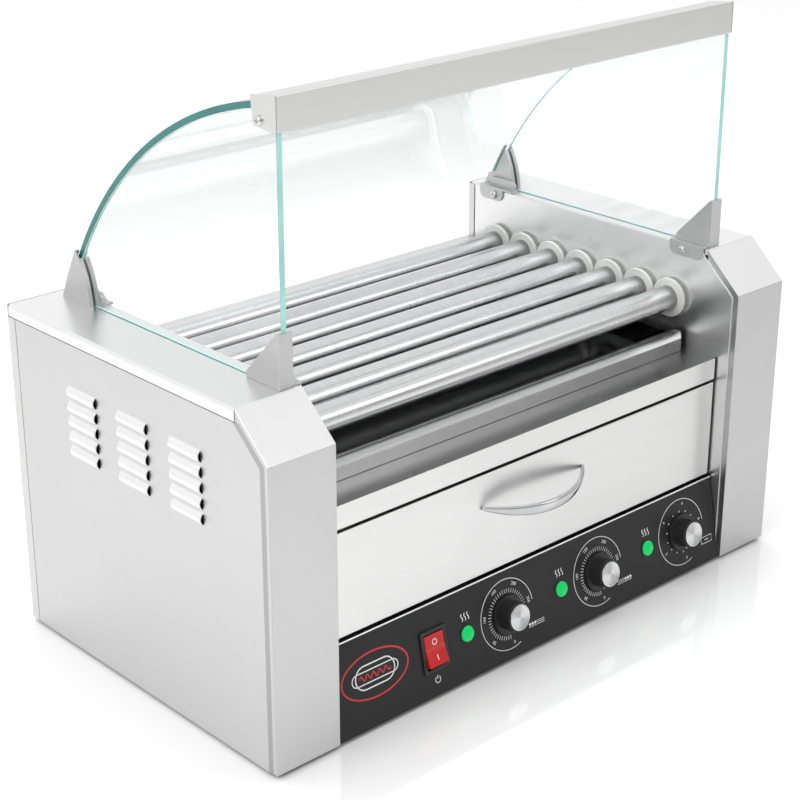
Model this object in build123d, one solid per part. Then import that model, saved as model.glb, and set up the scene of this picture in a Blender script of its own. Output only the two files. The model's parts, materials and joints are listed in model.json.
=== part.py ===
from build123d import *
import math
import os

# Hot dog roller grill: a counter-top cabinet with seven driven, heated rollers
# between two side housings, a drip tray, a bun-warming drawer, a slanted
# control panel and a glass guard.
# Frame: millimetres. +X to the right seen from the front, the front faces -Y,
# +Z up. The origin is under the middle of the whole object, on the counter.

os.makedirs("parts", exist_ok=True)

# ---------------------------------------------------------------- cabinet
WIDTH = 580.0            # across both side housings, without the louvres
DEPTH = 328.0            # front face to rear face of the cabinet
HEIGHT = 286.0           # top of the side housings above the counter
FOOT_HEIGHT = 3.0        # cabinet floor above the counter
HOUSING_WIDTH = 62.0     # each side housing
CHAMFER_RUN = 36.0       # sloping corner of a housing, front to back
CHAMFER_DROP = 33.0      # sloping corner of a housing, top to bottom
SHEET = 1.0              # stainless sheet
HANDLE_REACH = 10.0      # drawer handle in front of the cabinet face
GLAND_REACH = 3.0        # cord gland behind the back panel

SHIFT = (HANDLE_REACH - GLAND_REACH) / 2
FRONT = -DEPTH / 2 + SHIFT
REAR = DEPTH / 2 + SHIFT
SIDE = WIDTH / 2                     # outer face of a housing
BAY = SIDE - HOUSING_WIDTH           # joint plane of housing and inner wall
WALL = BAY - SHEET                   # roller-side face of an inner wall
FLOOR = FOOT_HEIGHT
EDGE_STRIP = 7.4                     # sloping strip at the side panels' front edge
LIP = 10.0                           # folded lips of covers and panels
SEAM = 0.5                           # open seam between two sheets

# ---------------------------------------------------------------- rollers
ROLLER_COUNT = 7
ROLLER_RADIUS = 11.0
ROLLER_BORE = 10.0
ROLLER_PITCH = 35.7
ROLLER_Y = FRONT + 71.8              # axis of the front roller
ROLLER_Z = 235.2
ROLLER_END = 246.0                   # half length of a roller tube
SEAL_RADIUS = 17.5
SEAL_THICKNESS = 3.0
SEAL_STANDOFF = 3.0                  # seal flange to inner wall
SEAL_HUB_RADIUS = 13.0
RUNNING = 0.05                       # radial clearance of a running fit
ROD_RADIUS = 4.0
ROD_END = 262.0

# ---------------------------------------------------------------- drive
CHAIN_PITCH = 6.35
ROLLER_TEETH = 14
MOTOR_TEETH = 10
SPROCKET_X = 234.0                   # inner face of the sprocket plates
SPROCKET_WIDTH = 2.8
CHAIN_WIDTH = 6.0
CHAIN_DEPTH = 3.4
CHAIN_GAP = 0.5                      # tooth tips to the inside of the chain
MOTOR_Y = ROLLER_Y + 3 * ROLLER_PITCH
MOTOR_Z = 168.0
SHAFT_RADIUS = 4.0

# ---------------------------------------------------------------- shelf, tray, drawer
SHELF_TOP = 192.0
SHELF_FRONT = FRONT + 18.0
SHELF_FLANGE = 19.5
TRAY_FRONT = FRONT + 50.0
TRAY_BACK = REAR - 16.0
TRAY_HALF = 222.0
TRAY_RIM_Z = 204.0
TRAY_CROWN = 4.0                     # rolled rim above the tray's front face
TRAY_RIM_WIDTH = 20.0
TRAY_CORNER = 6.0                    # cut corners of the rolled rim
DRAWER_FRONT = FRONT + 18.0
DRAWER_HALF = 225.0
DRAWER_LOW = 81.0
DRAWER_HIGH = 169.5
DRAWER_FOLD = 12.0                   # folded depth of the drawer front
BOX_HALF = 204.0
BOX_LOW = 90.0
BOX_HIGH = 160.0
BOX_BACK = REAR - 26.0

# ---------------------------------------------------------------- control panel
PANEL_TOP_Y = FRONT + 16.5
PANEL_TOP_Z = 79.0
PANEL_FOOT_Y = FRONT + 1.0
PANEL_FOOT_Z = FLOOR + 0.5
PANEL_THICKNESS = 1.2
PANEL_HALF = 226.0
DIAL_X = (-40.0, 70.0, 180.0)
LAMP_STEP = -46.0                    # each lamp stands left of its dial
SWITCH_X = -122.5
KNOB_RADIUS = 12.3
KNOB_HEIGHT = 13.5
KNOB_FLANGE_RADIUS = 16.5
KNOB_FLANGE = 2.2
CAP_RADIUS = 10.9
CAP_HEIGHT = 1.5
LAMP_RADIUS = 7.7
LENS_RADIUS = 8.6

# ---------------------------------------------------------------- glass guard
GLASS = 5.0
GUARD_X = 240.0                      # middle plane of a side glass
GUARD_FRONT = FRONT + 40.5           # front edge of the side glasses
ARC_RADIUS = 343.0                   # outer face of the curved glass
ARC_Y = FRONT - 4.0
ARC_Z = 153.5
ARC_END_Z = 301.0                    # lower edge of the curved glass
RAIL_LOW = 471.0
RAIL_HIGH = 497.5
RAIL_DEPTH = 25.0
CLAMP_HALF = 6.5                     # half width of a guard clamp
CLAMP_HIGH = HEIGHT + 42.0


def box(x0, x1, y0, y1, z0, z1):
    """Box between two corners."""
    size = (x1 - x0, y1 - y0, z1 - z0)
    return Pos((x0 + x1) / 2, (y0 + y1) / 2, (z0 + z1) / 2) * Box(*size)


def rod_x(x0, x1, y, z, radius):
    """Cylinder along X."""
    return Pos((x0 + x1) / 2, y, z) * Rot(0, 90, 0) * Cylinder(radius, x1 - x0)


def prism_x(points, x0, x1):
    """Outline given as (y, z) points, extruded along X."""
    wire = Polyline([(x0, y, z) for y, z in points], close=True)
    return extrude(make_face(wire), amount=x1 - x0, dir=(1, 0, 0))


def solids_of(*shapes):
    """Every solid in the shapes, as one flat list."""
    found = []
    for shape in shapes:
        found.extend(shape.solids())
    return found


def save(name, *shapes):
    """Write one node: a single solid, or a group of separate ones."""
    found = solids_of(*shapes)
    body = found[0] if len(found) == 1 else Compound(children=found)
    export_step(body, f"parts/{name}.step")


def mirrored(shape):
    """The same piece on the other side of the grill."""
    return mirror(shape, about=Plane.YZ)


def soften(shape, edges, radius):
    """Fillet the edges, or leave them sharp where the fillet can't be made."""
    try:
        return fillet(edges, radius)
    except ValueError:
        return shape


def housing_outline(inset, top=None, rear=0.0, low=FLOOR):
    """Side outline of a housing, moved in from its front, corner and top."""
    top = inset if top is None else top
    slope = math.hypot(CHAMFER_RUN, CHAMFER_DROP)
    foot_y = FRONT + inset * CHAMFER_DROP / slope
    foot_z = HEIGHT - CHAMFER_DROP - inset * CHAMFER_RUN / slope
    rise = CHAMFER_DROP / CHAMFER_RUN
    knee_z = foot_z + (FRONT + inset - foot_y) * rise
    crest_y = foot_y + (HEIGHT - top - foot_z) / rise
    return [
        (FRONT + inset, low),
        (FRONT + inset, knee_z),
        (crest_y, HEIGHT - top),
        (REAR - rear, HEIGHT - top),
        (REAR - rear, low),
    ]


def roller_y(index):
    return ROLLER_Y + index * ROLLER_PITCH


# ================================================================ feet and base
def make_feet():
    """Four rubber feet with a stud each, through the base pan."""
    feet = []
    for x in (-SIDE + 32, SIDE - 32):
        for y in (FRONT + 30, REAR - 30):
            pad = Pos(x, y, FOOT_HEIGHT / 2) * Cylinder(11, FOOT_HEIGHT)
            stud = Pos(x, y, FOOT_HEIGHT + 3) * Cylinder(3, 6)
            feet.append(pad + stud)
    return feet


def make_base_pan():
    """Floor sheet with folded-up edges, vent slots and foot holes."""
    half = SIDE - 3 * SHEET
    y0, y1 = FRONT + 9, REAR - 2
    pan = box(-half, half, y0, y1, FLOOR, FLOOR + 12)
    pan -= box(-half + SHEET, half - SHEET, y0 + SHEET, y1 - SHEET, FLOOR + SHEET, FLOOR + 13)
    for x in (-SIDE + 32, SIDE - 32):
        for y in (FRONT + 30, REAR - 30):
            pan -= Pos(x, y, FLOOR) * Cylinder(3, 4)
    for row in range(9):
        y = -60 + row * 15
        for x in (-110, 0, 110):
            pan -= box(x - 35, x + 35, y, y + 5, FLOOR - 1, FLOOR + 2)
    return pan


# ================================================================ housings
LOUVRE_LENGTH = 36.0
LOUVRE_HEIGHT = 11.0
LOUVRE_PITCH = 12.5
LOUVRE_RISE = 3.4
LOUVRE_COLUMNS = (95.0, 161.0, 227.0)       # middles, behind the front face
LOUVRE_TOP = 236.0                          # middle of the top row


def louvre_sites():
    for column in LOUVRE_COLUMNS:
        for row in range(5):
            yield FRONT + column, LOUVRE_TOP - row * LOUVRE_PITCH


def louvre_bridge(y, z, plate_x):
    """Arched strip pressed out of the side panel, open at both ends."""
    half = LOUVRE_HEIGHT / 2
    y0 = y - LOUVRE_LENGTH / 2

    def arch(rise, half_height):
        low = (plate_x, y0, z - half_height)
        high = (plate_x, y0, z + half_height)
        curve = ThreePointArc(low, (plate_x - rise, y0, z + half_height * 0.15), high)
        face = make_face([curve, Line(high, low)])
        return extrude(face, amount=LOUVRE_LENGTH, dir=(0, 1, 0))

    return arch(LOUVRE_RISE, half) - arch(LOUVRE_RISE - 0.9, half - 0.9)


def make_outer_panel():
    """Left side panel: flush field, edge sloping in behind the front cover."""
    field = prism_x(housing_outline(1.6, top=LIP + SEAM, rear=LIP + SEAM), -SIDE, -SIDE + 2 * SHEET)
    outer = field.faces().sort_by(Axis.X)[0]
    field = chamfer(outer.edges().sort_by(Axis.Y)[:2], length=EDGE_STRIP, length2=1.8, reference=outer)
    band = prism_x(housing_outline(1.6, top=1.6, rear=1.6), -SIDE + SHEET, -SIDE + 2 * SHEET)
    panel = field + band
    panel -= prism_x(housing_outline(12, top=13, rear=13, low=FLOOR + 12), -SIDE + SHEET, -SIDE + 3)
    for y, z in louvre_sites():
        half_y, half_z = LOUVRE_LENGTH / 2, LOUVRE_HEIGHT / 2 - 0.9
        panel -= box(-SIDE - 1, -SIDE + 2, y - half_y, y + half_y, z - half_z, z + half_z)
    for y, z in louvre_sites():
        panel += louvre_bridge(y, z, -SIDE + 0.4)
    return panel


def make_top_cover():
    """Left housing lid: flat top, outer lip with a round bend, inner lip."""
    y0 = FRONT + CHAMFER_RUN + SEAM
    y1 = REAR - SHEET - 0.3
    lid = box(-SIDE, -BAY, y0, y1, HEIGHT - LIP, HEIGHT)
    long_edges = lid.edges().filter_by(Axis.Y).sort_by(Axis.Z)[-2:]
    lid = soften(lid, [long_edges.sort_by(Axis.X)[0]], 2.4)
    lid -= box(-SIDE + SHEET, -BAY - SHEET, y0 - 1, y1 + 1, HEIGHT - LIP - 1, HEIGHT - SHEET)
    lid -= box(-BAY - 2 * SHEET, -BAY + 1, y0 - 1, y1 + 1, HEIGHT - LIP - 1, HEIGHT - 5)
    return lid


def fascia_strip(depth):
    """Front and sloping corner of a housing as a strip of the given depth."""
    outer = housing_outline(0)
    inner = housing_outline(depth)
    return [outer[0], outer[1], outer[2], inner[2], inner[1], inner[0]]


def make_front_fascia():
    """Left front cover: front face and sloping corner, with edge returns."""
    fascia = prism_x(fascia_strip(SHEET), -SIDE + 0.4, -BAY)
    fascia += prism_x(fascia_strip(8), -BAY - SHEET, -BAY)
    fascia += prism_x(fascia_strip(6), -SIDE + 2.2 * SHEET, -SIDE + 3.2 * SHEET)
    crest = FRONT + CHAMFER_RUN
    return fascia - box(-SIDE - 1, -BAY + 1, crest, crest + 20, HEIGHT - 30, HEIGHT + 1)


def make_inner_wall():
    """Left inner wall: carries the rollers, the shelf and the guard clamps."""
    wall = prism_x(housing_outline(6, top=0.8, rear=8, low=FLOOR + SHEET), -BAY, -WALL)
    foot = box(-BAY - 12, -BAY, FRONT + 12, REAR - 12, FLOOR + SHEET, FLOOR + 2 * SHEET)
    wall += foot
    wall -= box(-BAY - 1, -WALL + 1, FRONT + 8.5, FRONT + 10.5, FLOOR, FLOOR + 12.5)
    for index in range(ROLLER_COUNT):
        wall -= rod_x(-BAY - 2, -WALL + 2, roller_y(index), ROLLER_Z, SEAL_HUB_RADIUS)
    return wall


BACK_MIDDLE_TOP = 232.0


def make_back_panel():
    """Back sheet: full height behind the housings, lower between them."""
    y0 = REAR - SHEET
    sheet = box(-SIDE, SIDE, y0, REAR, FLOOR, HEIGHT)
    sheet -= box(-WALL, WALL, y0 - 1, REAR + 1, BACK_MIDDLE_TOP, HEIGHT + 1)
    sheet += box(-WALL, WALL, REAR - 12, REAR, BACK_MIDDLE_TOP - SHEET, BACK_MIDDLE_TOP)
    for side in (-1, 1):
        edge = sorted((side * SIDE, side * (SIDE - SHEET)))
        sheet += box(*edge, REAR - LIP, REAR, FLOOR, HEIGHT - LIP - SEAM)
        inner = sorted((side * WALL, side * BAY))
        sheet += box(*inner, REAR - 7, REAR, BACK_MIDDLE_TOP - SHEET, HEIGHT - 1.5)
    for column in range(-4, 5):
        for z in (150, 168, 186):
            x = column * 44
            sheet -= box(x - 14, x + 14, REAR - 2, REAR + 1, z, z + 4)
    sheet -= Pos(GLAND_X, REAR, GLAND_Z) * Rot(90, 0, 0) * Cylinder(9, 6)
    return sheet


GLAND_X = 190.0
GLAND_Z = 40.0
GLAND_BORE = 4.0
GLAND_IN = 14.0                      # gland body inside the back panel


def make_cord_gland():
    """Gland for the supply cord: flange, body and lock nut with one bore."""
    def ring(radius, y0, y1):
        middle = Pos(GLAND_X, (y0 + y1) / 2, GLAND_Z)
        return middle * Rot(90, 0, 0) * Cylinder(radius, y1 - y0)

    gland = ring(13, REAR, REAR + GLAND_REACH)
    gland += ring(9, REAR - GLAND_IN, REAR)
    nut = RegularPolygon(13, 6)
    place = Plane(origin=(GLAND_X, REAR - SHEET, GLAND_Z), x_dir=(1, 0, 0), z_dir=(0, -1, 0))
    gland += extrude(place * nut, amount=5)
    gland -= ring(GLAND_BORE, REAR - GLAND_IN - 1, REAR + GLAND_REACH + 1)
    return gland


# ================================================================ rollers and heat
def make_roller(index):
    """Polished stainless tube, open at both ends."""
    y = roller_y(index)
    tube = rod_x(-ROLLER_END, ROLLER_END, y, ROLLER_Z, ROLLER_RADIUS)
    return tube - rod_x(-ROLLER_END - 1, ROLLER_END + 1, y, ROLLER_Z, ROLLER_BORE)


def make_seal(index, side):
    """Heat-proof bush: a disc off the wall, and a hub through it."""
    y = roller_y(index)
    flange = WALL - SEAL_STANDOFF
    disc = rod_x(flange - SEAL_THICKNESS, flange, y, ROLLER_Z, SEAL_RADIUS)
    disc = soften(disc, disc.edges().filter_by(GeomType.CIRCLE), 0.6)
    seal = disc + rod_x(flange, BAY + 3, y, ROLLER_Z, SEAL_HUB_RADIUS)
    seal -= rod_x(flange - 5, BAY + 5, y, ROLLER_Z, ROLLER_RADIUS + RUNNING)
    return mirrored(seal) if side < 0 else seal


def make_heating_rods():
    """A straight heating rod that stands still inside each roller."""
    rods = []
    for index in range(ROLLER_COUNT):
        rods.append(rod_x(-ROD_END, ROD_END, roller_y(index), ROLLER_Z, ROD_RADIUS))
    return rods


def make_rod_bracket():
    """Right bracket: a strip that holds the rod ends, on two legs."""
    y0 = ROLLER_Y - 34
    y1 = roller_y(ROLLER_COUNT - 1) + 34
    x = 253.0
    bracket = box(x, x + 1.5, y0, y1, ROLLER_Z - 9, ROLLER_Z + 9)
    for y in (y0, y1 - 1.5):
        bracket += box(BAY, x + 1.5, y, y + 1.5, ROLLER_Z - 9, ROLLER_Z + 9)
    for index in range(ROLLER_COUNT):
        bracket -= rod_x(x - 1, x + 3, roller_y(index), ROLLER_Z, ROD_RADIUS)
    return bracket


# ================================================================ drive
def make_sprocket(teeth, y, z, bore, hub_radius):
    """Plain chain sprocket with a hub: round seats between pointed teeth."""
    pitch_radius = CHAIN_PITCH / (2 * math.sin(math.pi / teeth))
    tip_radius = pitch_radius + 1.55
    blank = rod_x(SPROCKET_X, SPROCKET_X + SPROCKET_WIDTH, y, z, tip_radius)
    for tooth in range(teeth):
        angle = 2 * math.pi * (tooth + 0.5) / teeth
        seat_y = y + pitch_radius * math.cos(angle)
        seat_z = z + pitch_radius * math.sin(angle)
        blank -= rod_x(SPROCKET_X - 1, SPROCKET_X + SPROCKET_WIDTH + 1, seat_y, seat_z, 1.68)
    blank += rod_x(SPROCKET_X, SPROCKET_X + SPROCKET_WIDTH + 4, y, z, hub_radius)
    return blank - rod_x(SPROCKET_X - 1, SPROCKET_X + SPROCKET_WIDTH + 5, y, z, bore)


def tip_radius_of(teeth):
    return CHAIN_PITCH / (2 * math.sin(math.pi / teeth)) + 1.55


def make_chain():
    """Chain as one closed band around the end sprockets and the motor's."""
    stations = [
        (roller_y(0), ROLLER_Z, tip_radius_of(ROLLER_TEETH)),
        (roller_y(ROLLER_COUNT - 1), ROLLER_Z, tip_radius_of(ROLLER_TEETH)),
        (MOTOR_Y, MOTOR_Z, tip_radius_of(MOTOR_TEETH)),
    ]
    x = SPROCKET_X + SPROCKET_WIDTH / 2 - CHAIN_WIDTH / 2

    def hull(extra):
        rings = [CenterArc((y, z), radius + extra, 0, 360) for y, z, radius in stations]
        flat = make_hull(rings)
        place = Plane(origin=(x, 0, 0), x_dir=(0, 1, 0), z_dir=(1, 0, 0))
        return extrude(place * flat, amount=CHAIN_WIDTH)

    return hull(CHAIN_GAP + CHAIN_DEPTH) - hull(CHAIN_GAP)


def make_motor_shaft():
    """Output shaft of the gear motor, with the sprocket on its end."""
    return rod_x(SPROCKET_X - 1, 262, MOTOR_Y, MOTOR_Z, SHAFT_RADIUS)


def make_gear_motor():
    """Gearbox with a round motor can, bored for the output shaft."""
    gearbox = box(246, 268, MOTOR_Y - 28, MOTOR_Y + 28, MOTOR_Z - 34, MOTOR_Z + 16)
    gearbox = soften(gearbox, gearbox.edges().filter_by(Axis.X), 6)
    can = rod_x(268, 284, MOTOR_Y, MOTOR_Z - 9, 24)
    motor = gearbox + can
    return motor - rod_x(245, 263, MOTOR_Y, MOTOR_Z, SHAFT_RADIUS + RUNNING)


def make_motor_bracket():
    """Angle bracket: plate behind the gearbox, shelf back to the wall."""
    z0 = MOTOR_Z - 46
    plate = box(244.5, 246, MOTOR_Y - 34, MOTOR_Y + 34, z0, MOTOR_Z + 10)
    plate -= rod_x(243, 247, MOTOR_Y, MOTOR_Z, SHAFT_RADIUS + 2)
    shelf = box(BAY, 246, MOTOR_Y - 34, MOTOR_Y + 34, z0, z0 + 1.5)
    flange = box(BAY, BAY + 1.5, MOTOR_Y - 34, MOTOR_Y + 34, z0 - 14, z0 + 1.5)
    return plate + shelf + flange


# ================================================================ shelf and tray
def make_drip_shelf():
    """Deck over the drawer, with a front flange and side flanges."""
    half = WALL - 0.3
    deck = box(-half, half, SHELF_FRONT, REAR - 3, SHELF_TOP - SHEET, SHELF_TOP)
    deck -= box(-half - 1, -half + 1.8, SHELF_FRONT - 1, SHELF_FRONT + 4, 0, 300)
    deck -= box(half - 1.8, half + 1, SHELF_FRONT - 1, SHELF_FRONT + 4, 0, 300)
    flange_low = SHELF_TOP - SHELF_FLANGE
    deck += box(-half + 1.8, half - 1.8, SHELF_FRONT, SHELF_FRONT + SHEET, flange_low, SHELF_TOP)
    for side in (-1, 1):
        leg = sorted((side * half, side * (half - SHEET)))
        deck += box(*leg, SHELF_FRONT + 6, REAR - 3, SHELF_TOP - 14, SHELF_TOP)
    return deck


def make_drip_tray():
    """Long pan with a rolled front rim, plain side and rear rims."""
    low = SHELF_TOP + 0.3
    crown = TRAY_RIM_Z + TRAY_CROWN
    rim_back = TRAY_FRONT + TRAY_RIM_WIDTH
    rim_points = [(TRAY_FRONT, low), (TRAY_FRONT, TRAY_RIM_Z)]
    face = make_face([
        Polyline([(-TRAY_HALF, y, z) for y, z in rim_points]),
        ThreePointArc(
            (-TRAY_HALF, TRAY_FRONT, TRAY_RIM_Z),
            (-TRAY_HALF, TRAY_FRONT + TRAY_RIM_WIDTH * 0.42, crown),
            (-TRAY_HALF, rim_back, TRAY_RIM_Z - 0.5),
        ),
        Polyline([
            (-TRAY_HALF, rim_back, TRAY_RIM_Z - 0.5),
            (-TRAY_HALF, rim_back, low),
            (-TRAY_HALF, TRAY_FRONT, low),
        ]),
    ])
    rim = extrude(face, amount=2 * TRAY_HALF, dir=(1, 0, 0))
    pan = box(-TRAY_HALF, TRAY_HALF, TRAY_FRONT + 2, TRAY_BACK, low, TRAY_RIM_Z)
    tray = rim + pan
    tray -= box(-TRAY_HALF + SHEET, TRAY_HALF - SHEET, rim_back - SHEET, TRAY_BACK - SHEET, low + SHEET, 230)
    inner = TRAY_HALF - TRAY_CORNER - 2
    tray -= box(-inner, inner, TRAY_FRONT + SHEET, rim_back - 2 * SHEET, low + SHEET, TRAY_RIM_Z - 1.5)
    for side in (-1, 1):
        end = side * TRAY_HALF
        points = [(end - side * TRAY_CORNER, TRAY_FRONT), (end, TRAY_FRONT), (end, TRAY_FRONT + TRAY_CORNER)]
        tray -= extrude(make_face(Polyline([(x, y, 0) for x, y in points], close=True)), amount=230, dir=(0, 0, 1))
    return tray


# ================================================================ drawer
def make_drawer_box():
    """Open-topped food box with runner flanges along its sides."""
    y0 = DRAWER_FRONT + DRAWER_FOLD
    tub = box(-BOX_HALF, BOX_HALF, y0, BOX_BACK, BOX_LOW, BOX_HIGH)
    tub = soften(tub, tub.edges().filter_by(Axis.Y).sort_by(Axis.Z)[:2], 4)
    tub -= box(-BOX_HALF + SHEET, BOX_HALF - SHEET, y0 + SHEET, BOX_BACK - SHEET, BOX_LOW + SHEET, BOX_HIGH + 1)
    for side in (-1, 1):
        flange = sorted((side * (BOX_HALF - SHEET), side * (BOX_HALF + 17)))
        tub += box(*flange, y0, BOX_BACK, BOX_HIGH - SHEET, BOX_HIGH)
    return tub


def make_drawer_front():
    """Folded stainless front panel, hollow behind."""
    y1 = DRAWER_FRONT + DRAWER_FOLD
    front = box(-DRAWER_HALF, DRAWER_HALF, DRAWER_FRONT, y1, DRAWER_LOW, DRAWER_HIGH)
    face_edges = front.faces().sort_by(Axis.Y)[0].edges()
    front = soften(front, face_edges, 1.2)
    front -= box(-DRAWER_HALF + SHEET, DRAWER_HALF - SHEET, DRAWER_FRONT + SHEET, y1 + 1,
                 DRAWER_LOW + SHEET, DRAWER_HIGH - SHEET)
    return front + box(-BOX_HALF, BOX_HALF, y1 - SHEET, y1, DRAWER_LOW + SHEET, BOX_HIGH)


HANDLE_X = -4.0
HANDLE_Z = 143.0
HANDLE_HALF = 59.0
HANDLE_TALL = 12.0
HANDLE_EDGE = 1.6
HANDLE_DROOP = 14.0                  # degrees that the bow hangs forward and down


def make_drawer_handle():
    """Chrome bow pull: a crescent band on two small feet."""
    reach = DRAWER_FRONT - FRONT + HANDLE_REACH
    droop = math.radians(HANDLE_DROOP)
    corner = HANDLE_TALL / 2 - HANDLE_EDGE
    span = (reach - HANDLE_EDGE - corner * math.sin(droop)) / math.cos(droop) + HANDLE_EDGE

    def bow(half, out):
        left, right = (-half, 0), (half, 0)
        return make_face([ThreePointArc(left, (0, -out), right), Line(right, left)])

    def lens(half, rise):
        left, right = (-half, 0, 0), (half, 0, 0)
        return make_face([ThreePointArc(left, (0, 0, rise), right), ThreePointArc(right, (0, 0, -rise), left)])

    ring = bow(HANDLE_HALF, span) - bow(HANDLE_HALF - 8, span - 4.5)
    band = extrude(ring, amount=HANDLE_TALL / 2, both=True)
    band &= extrude(lens(HANDLE_HALF + 8, HANDLE_TALL / 2), amount=60, dir=(0, -1, 0))
    band = soften(band, band.edges().filter_by(Axis.Z, reverse=True).group_by(Axis.Y)[0], HANDLE_EDGE)
    hang = Pos(HANDLE_X, DRAWER_FRONT, HANDLE_Z) * Rot(HANDLE_DROOP, 0, 0)
    handle = hang * band
    handle -= box(-200, 200, DRAWER_FRONT, DRAWER_FRONT + 30, DRAWER_LOW, DRAWER_HIGH)
    return handle


def make_drawer_runners():
    """Two angle strips on the inner walls; the box flanges slide on them."""
    runners = []
    for side in (-1, 1):
        leg = sorted((side * WALL, side * (WALL - SHEET)))
        ledge = sorted((side * WALL, side * (WALL - 17)))
        strip = box(*leg, DRAWER_FRONT + 16, BOX_BACK, BOX_HIGH - 14, BOX_HIGH - 1.8)
        strip += box(*ledge, DRAWER_FRONT + 16, BOX_BACK, BOX_HIGH - 2.8, BOX_HIGH - 1.8)
        runners.append(strip)
    return runners


def make_warmer_element():
    """Looped heating rod under the drawer, on two support bars."""
    z = 66.0
    y0, y1 = -50.0, 70.0
    radius = 3.2
    path = FilletPolyline(
        (170, y0, z), (-170, y0, z), (-170, y1, z), (170, y1, z),
        radius=40,
    )
    loop = sweep(Plane(origin=path @ 0, z_dir=path % 0) * Circle(radius), path=path)
    bars = []
    for x in (-95, 95):
        bar = box(x - 6, x + 6, y0 - 14, y1 + 14, z - radius - 1.5, z - radius)
        for y in (y0 - 14, y1 + 12.5):
            bar += box(x - 6, x + 6, y, y + 1.5, FLOOR + SHEET, z - radius)
        bars.append(bar)
    return [loop] + bars


# ================================================================ control panel
LEAN = math.atan2(PANEL_TOP_Y - PANEL_FOOT_Y, PANEL_TOP_Z - PANEL_FOOT_Z)
PANEL_LENGTH = math.hypot(PANEL_TOP_Y - PANEL_FOOT_Y, PANEL_TOP_Z - PANEL_FOOT_Z)
PANEL = Plane(
    origin=(0, (PANEL_TOP_Y + PANEL_FOOT_Y) / 2, (PANEL_TOP_Z + PANEL_FOOT_Z) / 2),
    x_dir=(1, 0, 0),
    z_dir=(0, -math.cos(LEAN), math.sin(LEAN)),
)
SWITCH_HALF_X = 13.5
SWITCH_HALF_Y = 17.5
SWITCH_WELL_X = 10.6
SWITCH_WELL_Y = 14.6


def on_panel(x, y, z, shape):
    """Place a shape on the panel: x across, y up the slope, z outwards."""
    return PANEL * Pos(x, y, z) * shape


def make_control_panel():
    """Slanted black panel with shaft, lamp and switch holes."""
    plate = on_panel(0, 0, -PANEL_THICKNESS / 2, Box(2 * PANEL_HALF, PANEL_LENGTH, PANEL_THICKNESS))
    for x in DIAL_X:
        plate -= on_panel(x, 0, 0, Cylinder(4.5, 8))
        plate -= on_panel(x + LAMP_STEP, 0, 0, Cylinder(LAMP_RADIUS - 1.2, 8))
    plate -= on_panel(SWITCH_X, 0, 0, Box(2 * SWITCH_WELL_X + 2, 2 * SWITCH_WELL_Y + 2, 8))
    return plate


def make_lamps():
    """Green pilot lamps: domed lens, bezel ring and body in one piece each."""
    lamps = []
    for x in DIAL_X:
        flange = on_panel(x + LAMP_STEP, 0, 0.6, Cylinder(LAMP_RADIUS, 1.2))
        ball = Pos(0, 0, 4.2 - LENS_RADIUS) * Sphere(LENS_RADIUS)
        dome = ball & (Pos(0, 0, 6.2) * Cylinder(LAMP_RADIUS - 1.2, 10))
        lens = on_panel(x + LAMP_STEP, 0, 0, dome)
        barrel = on_panel(x + LAMP_STEP, 0, -9, Cylinder(LAMP_RADIUS - 1.2, 18))
        lamps.append(flange + lens + barrel)
    return lamps


def make_thermostats():
    """Thermostat behind each dial: body, collar and fixed spindle."""
    controls = []
    for x in DIAL_X:
        body = on_panel(x, 0, -PANEL_THICKNESS - 11, Box(34, 34, 22))
        collar = on_panel(x, 0, -PANEL_THICKNESS / 2, Cylinder(4.5, PANEL_THICKNESS))
        spindle = on_panel(x, 0, 5, Cylinder(3, 10))
        controls.append(body + collar + spindle)
    return controls


def make_knob(x):
    """Black control knob: ribbed grip on a round flange, with a bore for the spindle."""
    skirt = on_panel(x, 0, 0.5 + KNOB_HEIGHT / 2, Cylinder(KNOB_RADIUS, KNOB_HEIGHT))
    ribs = 24
    for rib in range(ribs):
        angle = 2 * math.pi * rib / ribs
        groove_x = x + (KNOB_RADIUS + 0.5) * math.cos(angle)
        groove_y = (KNOB_RADIUS + 0.5) * math.sin(angle)
        skirt -= on_panel(groove_x, groove_y, 3 + KNOB_HEIGHT / 2, Cylinder(0.9, KNOB_HEIGHT))
    skirt += on_panel(x, 0, 0.5 + KNOB_FLANGE / 2, Cylinder(KNOB_FLANGE_RADIUS, KNOB_FLANGE))
    skirt -= on_panel(x, 0, 5, Cylinder(3 + RUNNING, 10.6))
    return skirt


def make_knob_cap(x):
    """Aluminium disc let on to the knob's face, with a pointer notch."""
    z = 0.5 + KNOB_HEIGHT
    cap = on_panel(x, 0, z + CAP_HEIGHT / 2, Cylinder(CAP_RADIUS, CAP_HEIGHT))
    return cap - on_panel(x, 2.5 - CAP_RADIUS, z + CAP_HEIGHT, Box(1.4, 5, 0.8))


def make_switch_housing():
    """Rocker switch body: bezel on the panel, open well, spade terminals."""
    bezel = on_panel(SWITCH_X, 0, 1, Box(2 * SWITCH_HALF_X, 2 * SWITCH_HALF_Y, 2))
    body = on_panel(SWITCH_X, 0, -10, Box(2 * SWITCH_WELL_X + 1.8, 2 * SWITCH_WELL_Y + 1.8, 20))
    housing = bezel + body
    housing -= on_panel(SWITCH_X, 0, -3, Box(2 * SWITCH_WELL_X, 2 * SWITCH_WELL_Y, 20))
    for y in (-9, 0, 9):
        housing += on_panel(SWITCH_X, y, -23, Box(5, 0.8, 8))
    return housing


ROCKER_PIVOT = -1.2                  # pivot axis below the panel's face
ROCKER_TILT = 8.0                    # degrees to either side of level


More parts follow.
